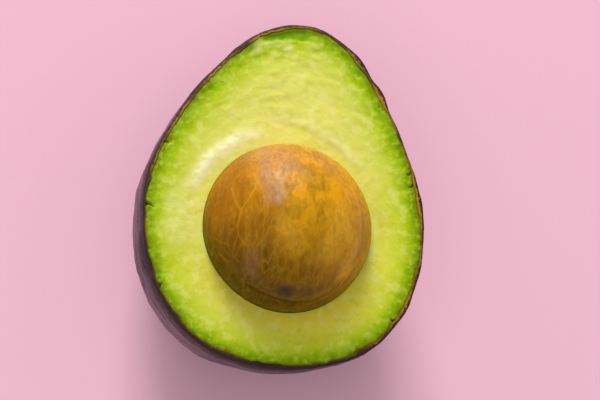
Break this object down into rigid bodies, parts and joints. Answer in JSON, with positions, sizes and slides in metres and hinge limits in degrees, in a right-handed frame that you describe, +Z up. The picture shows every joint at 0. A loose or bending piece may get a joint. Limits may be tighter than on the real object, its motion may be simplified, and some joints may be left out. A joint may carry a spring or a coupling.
{
  "type": "half avocado with its stone",
  "caption": "Half of a ripe avocado, cut lengthways and resting on its rounded back, with the stone seated in its cut face.",
  "frame": {"origin": "on the surface the half rests on, under the middle of the whole object's outline", "axes": "+Z up, square to the level cut face and out of it; +Y along the fruit to its narrow stem end; +X across it, to the side the stem end leans to"},
  "size_m": [0.0726, 0.0878, 0.0533],
  "materials": {
    "skin": "pebbled dark purple-brown peel, satin, with a golden-brown cut edge",
    "flesh": "moist cut flesh, pale yellow-green by the stone to bright green by the skin",
    "stone": "moist golden-brown seed coat with pale streaks, veins and a scar"
  },
  "bodies": {
    "root": {"skin": "skin", "flesh": "flesh", "stone": "stone"}
  },
  "joints": []
}
